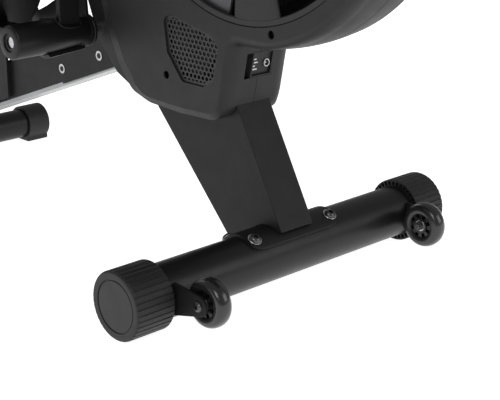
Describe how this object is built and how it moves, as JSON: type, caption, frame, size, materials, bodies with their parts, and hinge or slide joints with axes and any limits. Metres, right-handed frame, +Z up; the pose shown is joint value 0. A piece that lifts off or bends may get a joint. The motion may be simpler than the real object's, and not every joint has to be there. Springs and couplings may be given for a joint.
{
  "type": "rowing machine",
  "caption": "Rowing machine with an air fan in a round housing, a sliding seat on a folding rail, tilting pedals, a pull handle, a console and transport wheels.",
  "frame": {"origin": "on the floor under the middle of the bounding box", "axes": "+Z up, +Y from the fan towards the rear foot along the seat rail, +X across the machine"},
  "size_m": [0.56, 2.079, 1.2126],
  "materials": {
    "black_paint": "satin powder coat",
    "black_tube": "semi-gloss powder coat",
    "cap_plastic": "fine moulded texture",
    "housing_plastic": "fine moulded texture",
    "pedal_plastic": "ribbed moulded",
    "grille": "punched plate",
    "fan_plastic": "matte",
    "wheel_hub": "glossy moulded",
    "tyre": "glossy polyurethane",
    "zinc": "zinc plated",
    "steel": "machined",
    "steel_dark": "phosphated",
    "dark_screw": "black oxide",
    "belt_rubber": "ribbed",
    "roller_plastic": "polished nylon",
    "aluminium": "satin anodised",
    "seat_vinyl": "grained upholstery",
    "webbing": "woven",
    "grip_foam": "closed-cell foam",
    "screen": "glossy window",
    "button_plastic": "soft touch"
  },
  "bodies": {
    "frame": {"front_tube": "black_tube", "front_caps": "cap_plastic", "wheel_brackets": "black_paint", "wheel_bolts": "zinc", "saddle_plate": "black_paint", "leg_post": "black_paint", "saddle_bolts": "zinc", "housing_left": "housing_plastic", "housing_right": "housing_plastic", "fan_guards": "housing_plastic", "vent_grilles": "grille", "inlet_panel": "cap_plastic", "dc_jack": "steel", "housing_screws": "dark_screw", "inner_frame": "steel_dark", "drive_belt": "belt_rubber", "recoil_spring": "steel", "shaft_bearings": "steel", "neck_plates": "black_paint", "neck_bolts": "zinc", "lower_beam": "aluminium", "middle_foot": "black_tube", "middle_foot_caps": "cap_plastic", "rail_bracket": "black_paint", "hinge_bolt": "zinc", "pedal_axle": "zinc", "handle_strap": "webbing", "mast": "black_paint"},
    "left_wheel": {"left_tyre": "tyre", "left_hub": "wheel_hub"},
    "right_wheel": {"right_tyre": "tyre", "right_hub": "wheel_hub"},
    "fan": {"fan_impeller": "fan_plastic", "flywheel": "steel_dark", "fan_shaft": "steel"},
    "clutch": {"fan_pulley": "steel"},
    "spool": {"drive_spool": "steel_dark"},
    "idler": {"idler_roller": "roller_plastic"},
    "brake": {"brake_yoke": "steel_dark"},
    "knob": {"resistance_knob": "cap_plastic"},
    "rail": {"seat_rail": "aluminium", "rail_end_cap": "cap_plastic", "rear_leg": "black_paint", "rear_foot": "black_tube", "rear_foot_caps": "cap_plastic"},
    "lock": {"lock_knob": "cap_plastic"},
    "seat": {"seat_carriage": "black_paint", "seat_cushion": "seat_vinyl"},
    "front_roller": {"front_rollers": "roller_plastic"},
    "rear_roller": {"rear_rollers": "roller_plastic"},
    "left_foot": {"left_pedal": "pedal_plastic", "left_foot_strap": "webbing"},
    "right_foot": {"right_pedal": "pedal_plastic", "right_foot_strap": "webbing"},
    "handle": {"handle_bar": "black_paint", "handle_grips": "grip_foam"},
    "console": {"console_case": "housing_plastic", "console_screen": "screen"},
    "button_left": {"left_button": "button_plastic"},
    "button_right": {"right_button": "button_plastic"}
  },
  "joints": [
    {"name": "left_wheel_spin", "type": "hinge", "parent": "frame", "child": "left_wheel", "pos_m": [-0.198, -0.879, 0.0485], "axis": [1, 0, 0], "continuous": true},
    {"name": "right_wheel_spin", "type": "hinge", "parent": "frame", "child": "right_wheel", "pos_m": [0.198, -0.879, 0.0485], "axis": [1, 0, 0], "continuous": true},
    {"name": "fan_spin", "type": "hinge", "parent": "frame", "child": "fan", "pos_m": [0, -0.7825, 0.5685], "axis": [1, 0, 0], "continuous": true},
    {"name": "handle_pull", "type": "slide", "parent": "frame", "child": "handle", "axis": [0, 1, 0], "range_m": [0, 1.2], "stiffness_N_per_m": 15, "springref_m": -1, "deforming": ["handle_strap"]},
    {"name": "spool_spin", "type": "hinge", "parent": "frame", "child": "spool", "pos_m": [0, -0.5455, 0.64], "axis": [1, 0, 0], "continuous": true},
    {"name": "clutch_spin", "type": "hinge", "parent": "frame", "child": "clutch", "pos_m": [0, -0.7825, 0.5685], "axis": [1, 0, 0], "continuous": true},
    {"name": "idler_spin", "type": "hinge", "parent": "frame", "child": "idler", "pos_m": [0, -0.4555, 0.6065], "axis": [1, 0, 0], "continuous": true},
    {"name": "knob_turn", "type": "hinge", "parent": "frame", "child": "knob", "pos_m": [0, -0.52665, 0.89642], "axis": [0, 0.9925, -0.1219], "range_deg": [0, 300]},
    {"name": "brake_swing", "type": "hinge", "parent": "frame", "child": "brake", "pos_m": [0, -0.65752, 0.40853], "axis": [-1, 0, 0], "range_deg": [0, 12]},
    {"name": "rail_fold", "type": "hinge", "parent": "frame", "child": "rail", "pos_m": [0, -0.2035, 0.25], "axis": [1, 0, 0], "range_deg": [0, 75]},
    {"name": "lock_pull", "type": "slide", "parent": "frame", "child": "lock", "axis": [-1, 0, 0], "range_m": [0, 0.012], "stiffness_N_per_m": 400, "springref_m": -0.02},
    {"name": "seat_slide", "type": "slide", "parent": "rail", "child": "seat", "axis": [0, 1, 0], "range_m": [-0.2, 0.62]},
    {"name": "front_roller_spin", "type": "hinge", "parent": "seat", "child": "front_roller", "pos_m": [0, 0.1315, 0.3004], "axis": [1, 0, 0], "continuous": true},
    {"name": "rear_roller_spin", "type": "hinge", "parent": "seat", "child": "rear_roller", "pos_m": [0, 0.2615, 0.3004], "axis": [1, 0, 0], "continuous": true},
    {"name": "left_pedal_tilt", "type": "hinge", "parent": "frame", "child": "left_foot", "pos_m": [-0.124, -0.4725, 0.294], "axis": [1, 0, 0], "range_deg": [-12, 18]},
    {"name": "right_pedal_tilt", "type": "hinge", "parent": "frame", "child": "right_foot", "pos_m": [0.124, -0.4725, 0.294], "axis": [1, 0, 0], "range_deg": [-12, 18]},
    {"name": "console_tilt", "type": "hinge", "parent": "frame", "child": "console", "pos_m": [0, -0.5035, 1.085], "axis": [1, 0, 0], "range_deg": [-20, 20]},
    {"name": "left_button_press", "type": "slide", "parent": "console", "child": "button_left", "axis": [0, -0.9397, -0.342], "range_m": [0, 0.0015], "stiffness_N_per_m": 300, "springref_m": -0.002},
    {"name": "right_button_press", "type": "slide", "parent": "console", "child": "button_right", "axis": [0, -0.9397, -0.342], "range_m": [0, 0.0015], "stiffness_N_per_m": 300, "springref_m": -0.002}
  ],
  "couplings": [
    {"joint": "spool_spin", "follows": "handle_pull", "rad_per_m": -26.954},
    {"joint": "clutch_spin", "follows": "handle_pull", "rad_per_m": -60.129},
    {"joint": "idler_spin", "follows": "handle_pull", "rad_per_m": -76.336},
    {"joint": "brake_swing", "follows": "knob_turn", "ratio": 0.04},
    {"joint": "front_roller_spin", "follows": "seat_slide", "rad_per_m": -64.935},
    {"joint": "rear_roller_spin", "follows": "seat_slide", "rad_per_m": -64.935}
  ]
}
